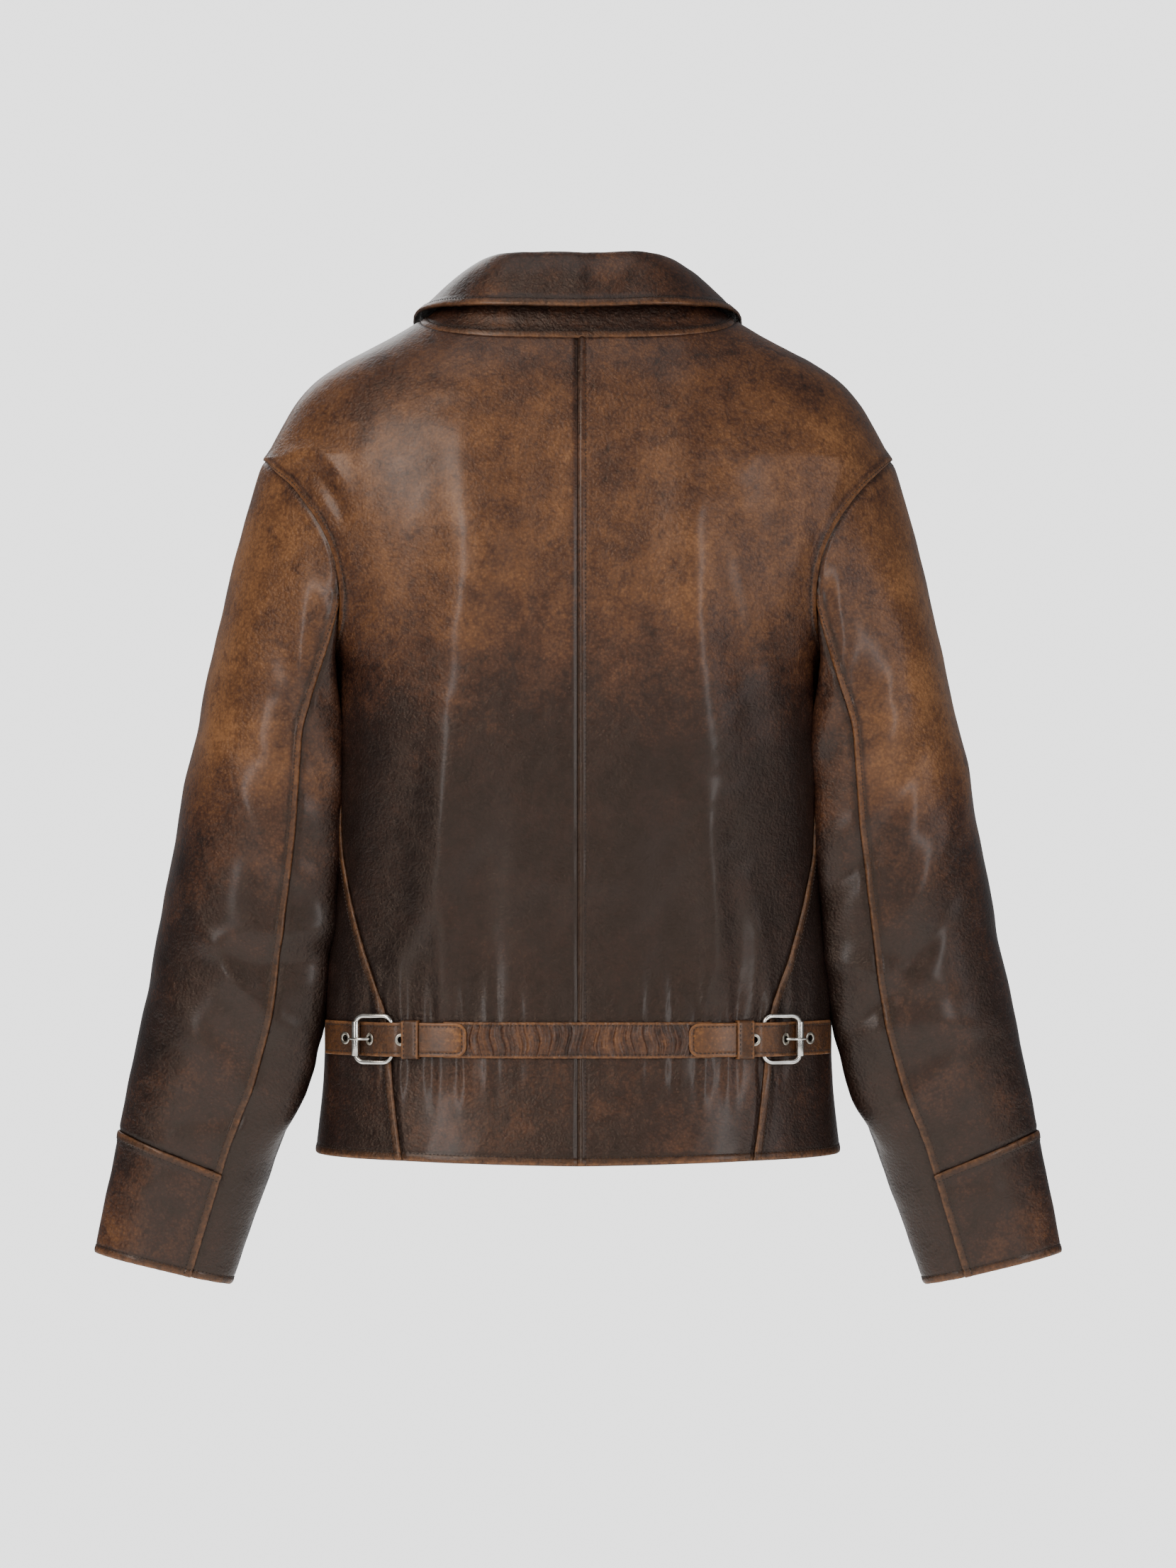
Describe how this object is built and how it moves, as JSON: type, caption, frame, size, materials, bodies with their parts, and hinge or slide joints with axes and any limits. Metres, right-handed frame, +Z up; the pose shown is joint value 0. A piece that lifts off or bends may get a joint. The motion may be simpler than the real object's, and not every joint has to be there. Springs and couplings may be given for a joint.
{
  "type": "leather riding jacket",
  "caption": "Waist-length leather riding jacket with a shirt collar, centre zip, two-piece sleeves and a gathered back waist band drawn in by buckled straps.",
  "frame": {"origin": "middle of the hanger loop inside the back of the neck", "axes": "+Z up, +Y towards the wearer's back, +X towards the wearer's left side"},
  "size_m": [0.742, 0.2308, 0.7835],
  "materials": {
    "hide": "worn waxed brown hide, semi-gloss",
    "strap_hide": "burnished dark brown strap leather",
    "lining": "dark brown satin",
    "nickel": "polished nickel plate, slightly worn",
    "eyelet": "antiqued brass",
    "zip_metal": "antiqued brass",
    "zip_tape": "woven cotton tape"
  },
  "bodies": {
    "torso": {"back_panel_l": "hide", "side_panel_l": "hide", "front_panel_l": "hide", "back_lining_l": "lining", "side_lining_l": "lining", "front_lining_l": "lining", "front_facing_l": "hide", "waist_strap_l": "strap_hide", "buckle_tab_l": "strap_hide", "strap_keeper_l": "strap_hide", "buckle_frame_l": "nickel", "zip_tape_l": "zip_tape", "zip_chain_l": "zip_metal", "strap_eyelet_l1": "eyelet", "strap_eyelet_l2": "eyelet", "strap_eyelet_l3": "eyelet", "back_panel_r": "hide", "side_panel_r": "hide", "front_panel_r": "hide", "back_lining_r": "lining", "side_lining_r": "lining", "front_lining_r": "lining", "front_facing_r": "hide", "waist_strap_r": "strap_hide", "buckle_tab_r": "strap_hide", "strap_keeper_r": "strap_hide", "buckle_frame_r": "nickel", "zip_tape_r": "zip_tape", "zip_chain_r": "zip_metal", "strap_eyelet_r1": "eyelet", "strap_eyelet_r2": "eyelet", "strap_eyelet_r3": "eyelet", "collar_stand": "hide", "collar_fall": "hide", "waist_band": "hide", "back_neck_facing": "hide", "hanger_loop": "strap_hide", "zip_bottom_box": "zip_metal"},
    "sleeve_l": {"top_sleeve_l": "hide", "cuff_panel_l": "hide", "under_sleeve_l": "hide", "sleeve_lining_l": "lining"},
    "roller_l": {"buckle_roller_l": "nickel"},
    "prong_l": {"buckle_prong_l": "nickel"},
    "sleeve_r": {"top_sleeve_r": "hide", "cuff_panel_r": "hide", "under_sleeve_r": "hide", "sleeve_lining_r": "lining"},
    "roller_r": {"buckle_roller_r": "nickel"},
    "prong_r": {"buckle_prong_r": "nickel"},
    "slider": {"zip_slider": "zip_metal"},
    "puller": {"zip_puller": "zip_metal"}
  },
  "joints": [
    {"name": "sleeve_l_lift", "type": "hinge", "parent": "torso", "child": "sleeve_l", "pos_m": [0.2385, -0.04944, -0.083], "axis": [0, -1, 0], "range_deg": [0, 40]},
    {"name": "roller_l_spin", "type": "hinge", "parent": "torso", "child": "roller_l", "pos_m": [0.16664, 0.01667, -0.52], "axis": [0, 0, 1], "continuous": true},
    {"name": "prong_l_lift", "type": "hinge", "parent": "torso", "child": "prong_l", "pos_m": [0.13938, 0.02728, -0.52], "axis": [0, 0, 1], "range_deg": [0, 4]},
    {"name": "sleeve_r_lift", "type": "hinge", "parent": "torso", "child": "sleeve_r", "pos_m": [-0.2385, -0.04944, -0.083], "axis": [0, 1, 0], "range_deg": [0, 40]},
    {"name": "roller_r_spin", "type": "hinge", "parent": "torso", "child": "roller_r", "pos_m": [-0.16664, 0.01667, -0.52], "axis": [0, 0, 1], "continuous": true},
    {"name": "prong_r_lift", "type": "hinge", "parent": "torso", "child": "prong_r", "pos_m": [-0.13938, 0.02728, -0.52], "axis": [0, 0, -1], "range_deg": [0, 4]},
    {"name": "zip_slide", "type": "slide", "parent": "torso", "child": "slider", "axis": [0, -0.0181, -0.9998], "range_m": [0, 0.51]},
    {"name": "puller_swing", "type": "hinge", "parent": "slider", "child": "puller", "pos_m": [0, -0.14998, -0.078], "axis": [-1, 0, 0], "range_deg": [0, 165]}
  ]
}
